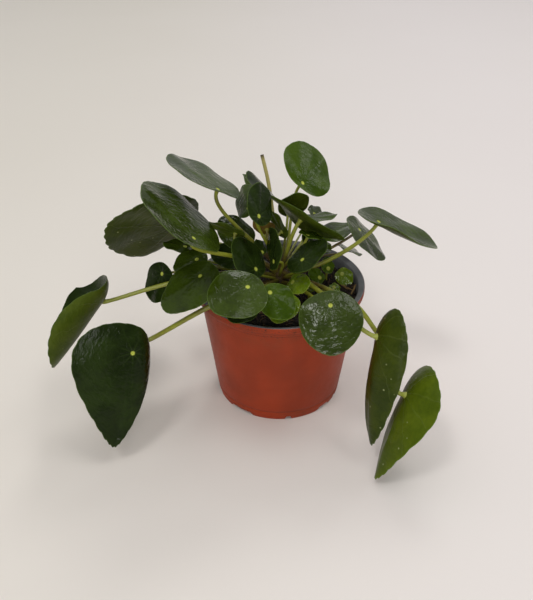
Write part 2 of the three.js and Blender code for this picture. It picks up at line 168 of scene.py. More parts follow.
LEAVES = {
    "leaf_top_left": leaf_at(
        (-41, 1, 160), (101, 60), 98.5, (51.5, 55), 0.2, (5, -25, -2, 5), (97, 60, 1.4), "mature",
        shift=7, brown=0.3,
    ),
    "leaf_left": leaf_at(
        (-53.5, -45, 148.2), (92, 52), 115, (67, 60), 0.18, (5, -15, -5, 8), (96, 50, 1.5), "mature",
        shift=2.5,
    ),
    "leaf_left_back": leaf_at(
        (-74.5, 30, 119), (-150, 30), 109, (70, 70), 0.2, (0, 0, 5, 5), (94, 45, 1.4), "mature", nicks=0.02,
    ),
    "leaf_far_left": leaf_at(
        (-120.9, -25, 89.3), (-91, 38), 38, (73, 74), 0.25, (-12, -50, -85, -50), (92, 28, 1.6), "painted_shade",
        reach=5, shift=-6, taper=0, twist=30, nicks=0.012,
    ),
    "leaf_front_left": leaf_at(
        (-95.5, -64, 74), (23, 20), -12, (84, 50), 0.24, (5, 12, 105, 5), (92, 42, 1.8), "painted_shade",
        reach=12, shift=-10, taper=0.6, nicks=0.014, brown=0.3, via=((-45, -41, 96), (-88, -42, 69)),
    ),
    "leaf_front_left_near": leaf_at(
        (-53, -30, 112), (-53, 64), 0, (44, 40), 0.27, 8, (92, 45, 1.2), "mature",
    ),
    "leaf_left_dome": leaf_at(
        (-57, -8, 112), (-31, 63), -60, (26, 24), 0.3, 20, (92, 30, 1), "crinkled", brown=0.5,
    ),
    "leaf_left_low": leaf_at(
        (-83, -1, 96), (-43, 28), -12, (30, 27), 0.25, 8, (90, 45, 1), "painted_shade", reach=6, brown=0.4,
    ),
    "leaf_left_small": leaf_at((-67, 14, 110), (88, 77), -170, (22, 17), 0.3, 5, (90, 30, 0.9), "mature"),
    "leaf_front": leaf_at((-21, -53, 118), (23, 69), -70, (38.5, 37), 0.27, 8, (90, 30, 1.2), "mature"),
    "leaf_front_low": leaf_at((-22, -42, 97), (20, 69), -60, (24, 20), 0.3, 8, (88, 10, 0.9), "painted_shade"),
    "leaf_front_bright": leaf_at((-7, -44, 108), (11, 53), 31, (26, 24), 0.2, 8, (88, 25, 0.9), "fresh"),
    "leaf_front_under": leaf_at((4, -38, 98), (-41, 69), 13, (24, 22), 0.25, 8, (87, 10, 0.9), "young"),
    "leaf_front_right": leaf_at((31, -56, 106), (-6, 53), 5, (42, 41), 0.25, 15, (88, 35, 1.3), "crinkled"),
    "leaf_right_low": leaf_at(
        (62.5, -60, 84.2), (92, -12), -18, (95, 38), 0.24, (-15, -35, -42, -60), (91, 45, 1.7), "mature",
        shift=-6, taper=0.35, nicks=0.014,
    ),
    "leaf_right_outer": leaf_at(
        (80.5, -81, 53), (85, -24), -27, (82, 56), 0.3, (-10, -30, -45, -45), (98, 35, 1.7), "fresh",
        reach=5, taper=0.5, nicks=0.018, via=((48, -37, 95), (64, -42, 76), (77, -50, 61)),
    ),
    "leaf_top_right": leaf_at((16.6, 38, 147.8), (54, 42), 116, (45, 44), 0.12, 5, (97, 15, 1.2), "fresh"),
    "leaf_right": leaf_at(
        (66.5, 1, 136.2), (90, 66), -13, (58, 50), 0.27, (-8, 5, 0, -40), (92, 15, 1.5), "mature",
    ),
    "leaf_right_back": leaf_at(
        (57.7, 25, 117.5), (83, 47), -15, (40, 36), 0.31, (5, 5, 8, 8), (92, 25, 1.1), "mature", brown=0.9,
    ),
    "leaf_back_right": leaf_at(
        (34, 27, 112), (-77, 81), -153, (30, 26), 0.25, 5, (92, 40, 1), "mature", brown=0.8,
    ),
    "leaf_back_high": leaf_at((21, 38, 120), (-131, 76), -141, (28, 22), 0.25, 5, (92, 45, 1), "mature"),
    "leaf_crossing": leaf_at(
        (14, 0, 138.5), (127, 45), 130, (80, 38), 0.41, (-12, -20, -28, 20), (98, 70, 1.5), "painted_shade",
        shift=-2, taper=0, twist=-55,
    ),
    "leaf_upper_centre": leaf_at(
        (-13.8, -25.4, 153.1), (56, 26), 134, (29, 24), 0.2, 8, (98, 70, 1.1), "painted_shade", aside=-15, reach=8,
    ),
    "leaf_upper_grey": leaf_at((-22, 8, 143), (-67, 33), -103, (30, 22), 0.2, 8, (98, 70, 1), "mature"),
    "leaf_upper_slim": leaf_at((-14, 32, 141), (88, 41), 152, (24, 16), 0.2, 5, (98, 70, 0.9), "mature"),
    "leaf_upper_back": leaf_at(
        (5.5, 29, 131.5), (-171, 15), -134, (24, 20), 0.25, 5, (96, 30, 1), "mature", reach=5,
    ),
    "leaf_inner_left": leaf_at((-16, -28, 116), (59, 37), 180, (30, 28), 0.2, 8, (90, 40, 1), "painted_shade"),
    "leaf_inner_slim": leaf_at(
        (-5, -27, 121), (-68, 10), -140, (28, 22), 0.2, (5, 5, 20, 20), (92, 50, 1), "painted_shade",
    ),
    "leaf_inner_dark": leaf_at((-12, -11, 119), (54, 33), 177, (12, 10), 0.2, 8, (92, 60, 0.9), "painted_shade"),
    "leaf_inner_pointed": leaf_at((14, -24, 121), (-71, 56), -177, (31, 25), 0.36, 5, (90, 50, 1), "painted_shade"),
    "leaf_inner_yellow": leaf_at((8, -23, 103), (-66, 49), 110, (20, 16), 0.2, 5, (88, 30, 0.8), "young"),
    "leaf_inner_glossy": leaf_at((-26, 6, 120), (38, 54), -175, (30, 27), 0.25, 15, (92, 50, 1), "crinkled"),
    "leaf_inner_shade": leaf_at(
        (-30, -5, 131), (159, 38), 120, (26, 20), 0.25, 5, (94, 60, 1), "painted_shade", brown=0.5,
    ),
    "leaf_inner_low": leaf_at((-30, -6, 112), (20, 60), -120, (24, 20), 0.25, 5, (88, 40, 0.9), "painted_shade"),
    "leaf_inner_striped": leaf_at(
        (18.5, -8.1, 130.7), (126, 70), 19, (19, 16), 0.25, 5, (94, 75, 1), "fresh",
    ),
    "leaf_inner_sheen": leaf_at((21.7, 0.5, 119.9), (88, 65), 42, (25, 22), 0.25, 5, (92, 55, 1), "mature"),
    "leaf_rear_thin": leaf_at(
        (52, 38, 94), (124, 62), 30, (26, 20), 0.25, 5, (90, 42, 0.9), "mature", reach=4, brown=0.8,
    ),
    "leaf_rear_pale": leaf_at((27, 54, 116), (70, 63), 91, (16, 13), 0.25, 5, (90, 50, 0.8), "mature"),
    "leaf_old_yellow": leaf_at(
        (-9, 2, 130), (-180, 22), 147, (18, 14), 0.25, 10, (94, 70, 0.9), "old", brown=0.7,
    ),
    "leaf_inner_back": leaf_at((2, 4, 127), (126, 10), 137, (22, 16), 0.25, 5, (94, 70, 0.9), "painted_shade"),
}

# Young shoots beside the crown: a straight stem out of the soil with one small leaf
PUPS = {
    "pup_bright": leaf_at((45, 9, 90), (-7, 49), 45, (14, 13), 0.3, 15, 0.8, "young"),
    "pup_glossy": leaf_at((35, 8, 95), (24, 36), 173, (12, 10), 0.3, 15, 0.8, "fresh"),
    "pup_dark": leaf_at((28, -6, 96), (37, 42), -138, (13, 11), 0.3, 8, 0.8, "fresh"),
    "pup_low_left": leaf_at((30, -14, 90), (-5, 65), 0, (9, 8), 0.35, 8, 0.7, "young"),
    "pup_low_right": leaf_at((38, -7, 89), (-7, 65), 25, (9, 8), 0.35, 8, 0.7, "young"),
    "pup_yellow": leaf_at((18, -11, 92), (-71, 41), 109, (12, 10), 0.25, 8, 0.8, "young"),
}

# Each finish: two colours that the upper face wanders between, two for the under face, the rim's colour, the
# roughness above, how strongly the blade reflects, and how high the ripples between the veins are
FINISHES = {
    "mature": ("#293608", "#3b4c10", "#2d3a07", "#404c0c", "#5a7030", 0.19, 0.17, 0.4),
    "crinkled": ("#273408", "#38480e", "#2d3a07", "#404c0c", "#5a7030", 0.17, 0.3, 0.6),
    # The next finish is painted shade and light: its darker upper colours paint the shade on leaves deep in
    # the crown and leaves turned from the light, and its paler under colours paint light on under faces that
    # lie in shade.
    "painted_shade": ("#18230a", "#26350f", "#3c4c12", "#505e18", "#4c6022", 0.21, 0.12, 0.4),
    "fresh": ("#304506", "#41570a", "#46570c", "#5a6a12", "#66802c", 0.21, 0.11, 0.4),
    "young": ("#567010", "#70861a", "#69781a", "#7d8a20", "#8f9b3c", 0.09, 0.5, 1.1),
    "old": ("#4f3f12", "#66501c", "#5f4c18", "#735c22", "#6f5a26", 0.5, 0.3, 0.4),
}
JOINT_COLOUR = "#c6cf56"
VEIN_COLOUR = "#5f7838"
UNDER_VEIN_COLOUR = "#6b7a34"
DOT_COLOUR = "#a3ab78"


def srgb(code):
    """A screen colour such as #2c4526 as the linear colour that a shader takes."""
    parts = [int(code[i : i + 2], 16) / 255 for i in (1, 3, 5)]
    return tuple(p / 12.92 if p <= 0.04045 else ((p + 0.055) / 1.055) ** 2.4 for p in parts) + (1.0,)


def darker(colour, share):
    """The colour at a share of its brightness."""
    return tuple(c * share for c in colour[:3]) + (1.0,)


COLOUR = dict(subtype="COLOR", size=4, min=0, max=1)
LENGTH = dict(subtype="DISTANCE", unit="LENGTH")


class PotSettings(bpy.types.PropertyGroup):
    """Sizes and colours of the nursery pot."""

    outside: FloatVectorProperty(
        name="Outside", description="Colour of the outer plastic", default=srgb("#9f3a1a"), **COLOUR,
    )
    inside: FloatVectorProperty(
        name="Inside", description="Colour of the inner wall and the rim", default=srgb("#77797c"), **COLOUR,
    )
    columns: IntProperty(name="Columns", description="Faces round the pot", default=360, min=60)


class SoilSettings(bpy.types.PropertyGroup):
    """How coarse the potting soil is."""

    crumb_density: FloatProperty(
        name="Crumb density", description="Crumbs on a square metre of soil", default=420000, min=0,
    )
    crumb_size: FloatProperty(
        name="Crumb size", description="Radius of a middling crumb", default=0.0008, min=0.0001, **LENGTH,
    )
    fibres: IntProperty(name="Fibres", description="Root fibres on the soil", default=260, min=0)
    seed: IntProperty(name="Seed", description="Seed of the scattered crumbs", default=7)


class BladeSettings(bpy.types.PropertyGroup):
    """Sizes shared by all the blades."""

    thickness: FloatProperty(
        name="Thickness", description="Thickness of a blade's middle", default=0.0008, min=0.0002, **LENGTH,
    )
    rumple: FloatProperty(
        name="Rumple", description="Height of the swellings between veins", default=0.00025, min=0, **LENGTH,
    )
    veins: IntProperty(name="Veins", description="Main veins round the joint", default=9, min=3)


class StemSettings(bpy.types.PropertyGroup):
    """Sizes and colours of the petioles."""

    sides: IntProperty(name="Sides", description="Faces round a petiole", default=14, min=3)
    green: FloatVectorProperty(
        name="Green", description="Colour of a fresh petiole", default=srgb("#959a2e"), **COLOUR,
    )
    brown: FloatVectorProperty(
        name="Brown", description="Colour of an old petiole", default=srgb("#574021"), **COLOUR,
    )


class StageSettings(bpy.types.PropertyGroup):
    """Floor, light and camera."""

    # The floor's two colours paint light: the right one lighter, where more light falls, and the left one
    # darker and warmer, painted shade.
    floor: FloatVectorProperty(
        name="Floor", description="Colour of the floor on the right", default=srgb("#efe8e6"), **COLOUR,
    )
    floor_left_shade: FloatVectorProperty(
        name="Floor, left", description="Colour of the floor on the left", default=srgb("#e6e0d6"), **COLOUR,
    )
    view_angle: FloatProperty(
        name="View angle", description="Angle that the long side of the picture takes in",
        default=math.radians(46), subtype="ANGLE", unit="ROTATION",
    )
    key: FloatProperty(
        name="Lamp power", description="Power that each lamp gives its own share of",
        default=40, min=0, subtype="POWER", unit="POWER",
    )
    sky: FloatProperty(
        name="Room light", description="Strength of the even light from the room", default=0.6, min=0,
    )


def arithmetic(operation, swapped=False):
    """A method of Value that adds a Math node."""
    def act(self, other):
        return self.nodes.math(operation, *((other, self) if swapped else (self, other)))

    return act


class Value:
    """A node's output. Arithmetic on it adds nodes to its tree."""

    def __init__(self, nodes, socket):
        self.nodes, self.socket = nodes, socket

    __add__, __radd__ = arithmetic("ADD"), arithmetic("ADD", True)
    __sub__, __rsub__ = arithmetic("SUBTRACT"), arithmetic("SUBTRACT", True)
    __mul__, __truediv__ = arithmetic("MULTIPLY"), arithmetic("DIVIDE")

    def ramp(self, start, end, low=0.0, high=1.0):
        """low below start, high above end and a smooth step between."""
        inputs = {0: self, 1: start, 2: end, 3: low, 4: high}
        return self.nodes.add("ShaderNodeMapRange", inputs, interpolation_type="SMOOTHSTEP")


class Nodes:
    """Lays out one node tree. Every call adds a node and gives back one of its outputs."""

    def __init__(self, tree, material=None):
        self.tree, self.material = tree, material

    def add(self, kind, inputs=None, out=0, **settings):
        node = self.tree.nodes.new(kind)
        for key, value in settings.items():
            setattr(node, key, value)
        for key, value in (inputs or {}).items():
            self.feed(node.inputs[key], value)
        return Value(self, node.outputs[out]) if len(node.outputs) else None

    def feed(self, socket, value):
        if isinstance(value, Value):
            self.tree.links.new(value.socket, socket)
        elif value is not None:
            socket.default_value = value

    def math(self, operation, a, b=None, c=None):
        return self.add("ShaderNodeMath", {0: a, 1: b, 2: c}, operation=operation)

    def vector(self, operation, a, b=None, scale=None, out=0):
        return self.add("ShaderNodeVectorMath", {0: a, 1: b, 3: scale}, out=out, operation=operation)

    def part(self, vector, axis):
        """One number of a vector: 0, 1 or 2 for x, y or z."""
        return self.add("ShaderNodeSeparateXYZ", {0: vector}, out=axis)

    def blend(self, factor, a, b):
        """From colour a to colour b, each an output, four numbers or a code."""
        a, b = (srgb(colour) if isinstance(colour, str) else colour for colour in (a, b))
        return self.add("ShaderNodeMix", {0: factor, 6: a, 7: b}, out=2, data_type="RGBA")

    def noise(self, place, scale, detail=3.0, roughness=0.55):
        inputs = {"Vector": place, "Scale": scale, "Detail": detail, "Roughness": roughness}
        return self.add("ShaderNodeTexNoise", inputs)

    def bump(self, height, distance, strength=1.0):
        return self.add("ShaderNodeBump", {"Strength": strength, "Distance": distance, "Height": height})

    def attribute(self, name):
        return self.add("ShaderNodeAttribute", out=2, attribute_name=name)

    def group(self, name, **inputs):
        """Places a shared group and gives back all its outputs."""
        first = self.add("ShaderNodeGroup", inputs, node_tree=shared_tree(name))
        return [Value(self, socket) for socket in first.socket.node.outputs]

    def close(self, *values):
        """Ends a group with what it gives, in order."""
        for socket, value in zip(self.tree.nodes["Group Output"].inputs, values):
            self.feed(socket, value)
        return self.tree


def shared_tree(name):
    """A node group that several pieces use, built when it is first asked for."""
    return bpy.data.node_groups.get(name) or TREES[name](name)


def new_tree(kind, name, takes, gives):
    """An empty node group with named sockets: its nodes, then what it takes."""
    tree = bpy.data.node_groups.new(name, kind)
    for side, sockets in (("INPUT", takes), ("OUTPUT", gives)):
        for socket, value in sockets.items():
            tree.interface.new_socket(name=socket, in_out=side, socket_type="NodeSocket" + value)
    tree.nodes.new("NodeGroupOutput")
    nodes = Nodes(tree)
    return nodes, *(Value(nodes, socket) for socket in tree.nodes.new("NodeGroupInput").outputs[: len(takes)])


def vein_group(name):
    """Veins that spread from the joint and bow towards the tip, and ripples round the joint."""
    nodes, place, count, width = new_tree(
        "ShaderNodeTree", name, dict(Place="Vector", Count="Float", Width="Float"),
        dict(Main="Float", Ripple="Float", Reach="Float"),
    )
    reach = nodes.vector("LENGTH", place, out=1)
    angle = nodes.math("ARCTAN2", nodes.part(place, 1), nodes.part(place, 0))
    bow = nodes.math("SINE", angle) * reach * 0.008
    wander = (nodes.noise(place, 0.12, 1.0) - 0.5) * 0.25
    share = (angle + bow + wander) * (count / (2 * math.pi))
    aside = nodes.math("ABSOLUTE", share - nodes.math("ROUND", share))
    spacing = reach * (2 * math.pi) / count
    main = (aside * spacing / width).ramp(0.3, 1.0, 1.0, 0.0)
    outward = nodes.add("ShaderNodeCombineXYZ", {2: reach * 0.42 + nodes.noise(place, 0.2, 2.0) * 2.6})
    round_joint = nodes.vector("SCALE", nodes.vector("NORMALIZE", place), scale=3.4)
    ripple = nodes.noise(nodes.vector("ADD", round_joint, outward), 1.0, 1.0, 0.5)
    return nodes.close(main, ripple, reach)


def dust_group(name):
    """Soil dust and specks, thicker where Amount is higher."""
    nodes, place, amount = new_tree(
        "ShaderNodeTree", name, dict(Place="Vector", Amount="Float"), dict(Dust="Float", Specks="Float"),
    )
    clouds = nodes.noise(place, 130.0, 6.0, 0.65) * nodes.noise(place, 28.0, 3.0, 0.6)
    specks = (nodes.noise(place, 950.0, 2.0, 0.6) - (0.82 - amount * 0.19)).ramp(0.0, 0.03)
    return nodes.close(clouds.ramp(0.16, 0.42) * amount, specks)


def mottle_group(name):
    """Soft patches and fine grain, for colour that varies over a surface."""
    nodes, place, scale = new_tree(
        "ShaderNodeTree", name, dict(Place="Vector", Scale="Float"), dict(Patches="Float", Grain="Float"),
    )
    grain = nodes.noise(place, scale * 9.0, 2.0).ramp(0.3, 0.7)
    return nodes.close(nodes.noise(place, scale, 3.0).ramp(0.35, 0.65), grain)


def new_material(name, mottle=None):
    """A new material's nodes, its object coordinates, and patches and grain if mottle gives their scale."""
    material = bpy.data.materials.new(name)
    material.use_nodes = True
    material.node_tree.nodes.clear()
    nodes = Nodes(material.node_tree, material)
    place = nodes.add("ShaderNodeTexCoord", out=3)
    return nodes, place, *(nodes.group("Mottle", Place=place, Scale=mottle) if mottle else ())


def surface(nodes, colour, roughness, normal=None, **fixed):
    """Ends a material with its Principled BSDF. fixed: plain values on the shader's own sockets."""
    inputs = {"Base Color": colour, "Roughness": roughness, "Normal": normal}
    inputs.update({key.replace("_", " "): value for key, value in fixed.items()})
    nodes.add("ShaderNodeOutputMaterial", {0: nodes.add("ShaderNodeBsdfPrincipled", inputs)})
    return nodes.material


def blade_material(look):
    """A leathery leaf: glossy above, dull and pale-dotted below, with a pale rim and joint."""
    name = "Leaf " + look
    if name in bpy.data.materials:
        return bpy.data.materials[name]
    above, above_too, below, below_too, rim_colour, gloss, shine, swell = FINISHES[look]
    nodes, place, patches, grain = new_material(name, 55.0)
    under, rim = nodes.attribute("under"), nodes.attribute("rim_mm")
    flat = nodes.vector("MULTIPLY", nodes.add("ShaderNodeUVMap", uv_map="blade"), (UV_MM, UV_MM, 0))
    count = float(bpy.context.scene.pilea_blades.veins)
    main, ripple, reach = nodes.group("Leaf veins", Place=flat, Count=count, Width=0.55)
    patch = patches * 0.75 + grain * 0.25
    upper = nodes.blend(patch, above, above_too)
    upper = nodes.blend(main * reach.ramp(1.5, 12.0, 0.1, 0.03), upper, VEIN_COLOUR)
    lower = nodes.blend(patch, below, below_too)
    lower = nodes.blend(main * 0.14, lower, UNDER_VEIN_COLOUR)
    dots = nodes.add("ShaderNodeTexVoronoi", {"Vector": flat, "Scale": 0.14}).ramp(0.05, 0.11, 1.0, 0.0)
    some = nodes.noise(flat, 0.09, 1.0).ramp(0.45, 0.55) * 0.8
    lower = nodes.blend(dots * some, lower, DOT_COLOUR)
    colour = nodes.blend(under, upper, lower)
    colour = nodes.blend(rim.ramp(0.15, 0.55, 0.6, 0.0), colour, rim_colour)
    colour = nodes.blend(reach.ramp(0.8, 1.8, 1.0, 0.0), colour, JOINT_COLOUR)
    rough = under * 0.15 + gloss + (patch - 0.5) * 0.12
    relief = ripple + main * (under * 0.35)
    return surface(nodes, colour, rough, nodes.bump(relief, swell * MM), Specular_IOR_Level=shine)


def stem_material():
    """Petioles: yellow-green, browner towards the crown, with a fine grain."""
    settings = bpy.context.scene.pilea_stems
    nodes, place, patches, grain = new_material("Petiole", 90.0)
    along = nodes.attribute("along")
    old = nodes.attribute("brown") + along.ramp(0.12, 0.6, 0.8, 0.0) + (patches - 0.5) * 0.4
    colour = nodes.blend(old.ramp(0.1, 1.0), tuple(settings.green), tuple(settings.brown))
    colour = nodes.blend(along.ramp(0.93, 1.0, 0.0, 0.7), colour, "#a9b14a")
    colour = nodes.blend(grain * 0.18, colour, "#5d6a24")
    colour = nodes.blend(nodes.attribute("dry"), colour, "#b5aa62")
    colour = nodes.blend(nodes.attribute("cut"), colour, "#3a2c18")
    normal = nodes.bump(nodes.noise(place, 420.0, 3.0), 0.0004, 0.6)
    return surface(nodes, colour, 0.36 + grain * 0.15, normal, Coat_Weight=0.15, Coat_Roughness=0.25)


def bark_material():
    """The short woody trunk with its leaf scars."""
    nodes, place, patches, grain = new_material("Bark", 160.0)
    colour = nodes.blend(patches, "#3b2e1c", "#5a4a2a")
    colour = nodes.blend(grain * 0.5, colour, "#2a2014")
    return surface(nodes, colour, 0.65 + grain * 0.25, nodes.bump(nodes.noise(place, 500.0, 4.0), 0.0008))


def outside_material():
    """Terracotta-coloured plastic, with soil dust below the lip and above the foot, and fine dark lines of
    painted shade along its grooves.
    """
    outside = bpy.context.scene.pilea_pot.outside
    nodes, place, patches, grain = new_material("Pot outside", 30.0)
    height = nodes.part(place, 2)
    top, bottom = height.ramp(0.066, 0.084), height.ramp(0.0, 0.014, 1.0, 0.0)
    amount = nodes.math("MAXIMUM", top, bottom * 0.7) + 0.12
    dust, specks = nodes.group("Soil dust", Place=place, Amount=amount)
    colour = nodes.blend(patches, tuple(outside), darker(outside, 0.8))
    colour = nodes.blend(dust * 0.45, colour, "#6d4c38")
    colour = nodes.blend(specks * 0.8, colour, "#3a281c")
    # Painted shade: thin dark lines where fine grooves run round the outside.
    line = 0.0
    for z in GROOVE_SHADE_LINES:
        away = nodes.math("ABSOLUTE", height - z)
        line = nodes.math("MAXIMUM", line, away.ramp(0.0001, GROOVE_SHADE_WIDTH, 1.0, 0.0))
    colour = nodes.blend(line * 0.4, colour, "#5a2412")
    bands = nodes.noise(nodes.add("ShaderNodeCombineXYZ", {2: height}), 900.0, 2.0) * (top + 0.15)
    grit = nodes.noise(place, 700.0, 2.0) * 0.25 + specks * 1.2
    normal = nodes.bump(bands + grit, 0.0003, 0.5)
    return surface(nodes, colour, 0.42 + dust * 0.3 + grain * 0.06, normal, Specular_IOR_Level=0.2)


def inside_material():
    """Grey plastic of the rim and the inner wall, dusty near the soil."""
    inside = bpy.context.scene.pilea_pot.inside
    nodes, place, patches, _ = new_material("Pot inside", 60.0)
    low = nodes.part(place, 2).ramp(0.082, 0.091, 1.0, 0.25)
    dust, specks = nodes.group("Soil dust", Place=place, Amount=low)
    colour = nodes.blend(patches, tuple(inside), darker(inside, 0.75))
    colour = nodes.blend(dust * 0.6, colour, "#3c332b")
    colour = nodes.blend(specks * 0.8, colour, "#2a2019")
    normal = nodes.bump(nodes.noise(place, 700.0, 2.0), 0.0002, 0.4)
    return surface(nodes, colour, 0.45 + dust * 0.3, normal)


def peat_material():
    """Damp peat: nearly black with brown crumbs."""
    nodes, place, patches, grain = new_material("Peat", 240.0)
    colour = nodes.blend(patches, "#15100b", "#2c2018")
    colour = nodes.blend(nodes.noise(place, 420.0, 1.0).ramp(0.62, 0.72) * 0.7, colour, "#4d3a28")
    return surface(nodes, colour, 0.75 + grain * 0.2, nodes.bump(nodes.noise(place, 900.0, 4.0), 0.0009))


def fibre_material():
    """Root fibres and bark chips, straw to reddish brown."""
    nodes, place, patches, grain = new_material("Fibre", 120.0)
    colour = nodes.blend(patches, "#3d2a1c", "#6e5336")
    colour = nodes.blend(grain * 0.4, colour, "#8d7348")
    colour = nodes.blend(nodes.attribute("pale"), colour, "#a08548")
    return surface(nodes, colour, 0.6 + grain * 0.25, nodes.bump(nodes.noise(place, 800.0, 3.0), 0.0004))


def floor_material():
    """Pale floor, a little warmer and darker on the left: painted shade there, and painted light on the
    right.
    """
    settings = bpy.context.scene.pilea_stage
    nodes, place = new_material("Floor")
    patch = nodes.noise(place, 3.0, 2.0).ramp(0.3, 0.7)
    # Painted light and shade: the colour goes from the darker, warmer left to the lighter right.
    right = nodes.part(place, 0).ramp(-0.4, 0.4)
    colour = nodes.blend(right, tuple(settings.floor_left_shade), tuple(settings.floor))
    colour = nodes.blend(patch * 0.04, colour, (1, 1, 1, 1))
    return surface(nodes, colour, 0.55 + patch * 0.05, Specular_IOR_Level=0.3)


def put(name, data, *materials):
    """A new object for a mesh, a lamp or a camera, at the origin."""
    obj = bpy.data.objects.new(name, data)
    bpy.context.scene.collection.objects.link(obj)
    for material in materials:
        data.materials.append(material)
    return obj


def turns(count):
    """Evenly spaced turns round the middle, in radians."""
    return np.arange(count) * 2 * np.pi / count


def circle(radius, turn, height):
    """Points at the given turns. radius and height are one number each, or one for each turn."""
    return np.stack([radius * np.cos(turn), radius * np.sin(turn), 0 * turn + height], axis=1)


def loft(name, rows, first, last):
    """A closed skin over rings of points with a pole at either end. Rings run the same way."""
    count = len(rows[0])
    points = [p for row in rows for p in row] + [first, last]
    faces = []
    end = (len(rows) - 1) * count
    pairs = [(i, (i + 1) % count) for i in range(count)]
    for row in range(0, end, count):
        faces += [(row + a, row + b, row + count + b, row + count + a) for a, b in pairs]
    faces += [(len(points) - 2, b, a) for a, b in pairs]
    faces += [(len(points) - 1, end + a, end + b) for a, b in pairs]
    mesh = bpy.data.meshes.new(name)
    mesh.from_pydata([tuple(float(c) * MM for c in p) for p in points], [], faces)
    mesh.polygons.foreach_set("use_smooth", [True] * len(mesh.polygons))
    mesh.update()
    face_outwards(mesh)
    return mesh


def face_outwards(mesh):
    """Turns a closed skin's faces outwards if they point in."""
    mesh.calc_loop_triangles()
    volume = 0.0
    for triangle in mesh.loop_triangles:
        a, b, c = (mesh.vertices[i].co for i in triangle.vertices)
        volume += a.dot(b.cross(c))
    if volume < 0:
        mesh.flip_normals()


def give(mesh, name, values):
    """Stores one number for each point of the mesh."""
    layer = mesh.attributes.new(name, "FLOAT", "POINT")
    layer.data.foreach_set("value", np.asarray(values, dtype=np.float32).ravel())


def leaf_axes(leaf):
    """The way the upper face looks, the way to the tip, and the way across."""
    turn, rise = (math.radians(v) for v in leaf["face"])
    normal = np.array([math.sin(turn) * math.cos(rise), -math.cos(turn) * math.cos(rise), math.sin(rise)])
    downhill = np.array([math.sin(turn) * math.sin(rise), -math.cos(turn) * math.sin(rise), -math.cos(rise)])
    tip = math.radians(leaf["tip"])
    along = downhill * math.cos(tip) + np.cross(normal, downhill) * math.sin(tip)
    return normal, along, np.cross(normal, along)


def bent(distance, reach, lift, degrees):
    """A flat distance as run and height on a sheet that leaves the joint level and turns evenly."""
    total = np.radians(np.where(np.abs(degrees) < 0.6, 0.6, degrees))
    radius = reach / total
    angle = distance / radius
    return (radius + lift) * np.sin(angle), (radius + lift) * np.cos(angle) - radius


def blade_outline(leaf, turn):
    """The flat edge at each turn: round, with a slight point and a narrower tip half."""
    length, width = leaf["size"]
    apex = TIP_POINT * np.maximum(0, np.cos(turn)) ** TIP_SHARPNESS
    x = length * (0.5 - leaf["place"]) + length / 2 * (np.cos(turn) + apex)
    y = width / 2 * np.sin(turn) * (1 - leaf.get("taper", TAPER) * np.cos(turn)) + leaf.get("shift", 0)
    return x, y


def blade_relief(leaf, x, y, share, turn, settings):
    """Swellings between the main veins, slow waves and the dip at the joint."""
    amount = settings.rumple / MM * min(1.0, leaf["size"][0] / 45)
    ridge = np.abs(np.sin(settings.veins * turn / 2)) - 0.6
    relief = amount * 0.3 * ridge * np.sin(np.pi * np.clip(share, 0, 1)) ** 0.7
    own = leaf["at"][0] * 0.37
    flat = list(zip(x.ravel(), y.ravel()))
    slow = np.array([noise.noise(Vector((a * 0.07 + own, b * 0.07, own))) for a, b in flat])
    quick = np.array([noise.noise(Vector((a * 0.21, b * 0.21 - own, own))) for a, b in flat])
    relief = relief + (slow * 1.8 + quick * 0.5).reshape(x.shape) * amount * np.sqrt(share)
    return relief - 0.5 * np.exp(-((x * x + y * y) / 5.0))


def blade_sheet(leaf, settings):
    """The upper face as rings of points, with their flat places and how far the rim is."""
    large = leaf["size"][0] > LARGE_FROM
    turn = turns(108 if large else 60)[None, :]
    middle = np.linspace(0.32, 0.95, 15 if large else 8)
    share = np.array([0.03, 0.07, 0.12, 0.18, 0.25, *middle, 0.975, 0.99, 1.0])[:, None]
    edge_x, edge_y = blade_outline(leaf, turn)
    teeth = (0.5 + 0.5 * np.cos(NICK_COUNT * turn + 3 * np.sin(2 * turn))) ** 2
    scallop = 1 - leaf.get("nicks", NICKS) * share**8 * teeth
    x, y = edge_x * share * scallop, edge_y * share * scallop
    length, width = leaf["size"]
    tip_bend, base_bend, left_bend, right_bend = leaf["edges"]
    wave = EDGE_WAVE * share**2 * np.sin(EDGE_WAVES * turn + leaf["at"][0])
    lift = wave + blade_relief(leaf, x, y, share + 0 * turn, turn + 0 * share, settings)
    side, lift = bent(np.abs(y), width / 2, lift, np.where(y > 0, left_bend, right_bend))
    reach = np.where(x > 0, length * (1 - leaf["place"]), length * leaf["place"])
    run, lift = bent(np.abs(x), reach, lift, np.where(x > 0, tip_bend, base_bend))
    run, side = np.sign(x) * run, np.sign(y) * side
    roll = np.radians(leaf.get("twist", 0)) * np.maximum(x, 0) / length
    side, lift = side * np.cos(roll) - lift * np.sin(roll), side * np.sin(roll) + lift * np.cos(roll)
    normal, along, across = leaf_axes(leaf)
    points = leaf["at"] + run[..., None] * along
    points = points + side[..., None] * across + lift[..., None] * normal
    return points, x, y, np.hypot(edge_x, edge_y) * (1 - share) + 0 * x


def sheet_normals(points):
    """Normals of a sheet of rings, from the steps round and out."""
    around = np.roll(points, -1, axis=1) - np.roll(points, 1, axis=1)
    normals = np.cross(np.gradient(points, axis=0), around)
    return normals / np.linalg.norm(normals, axis=2, keepdims=True)


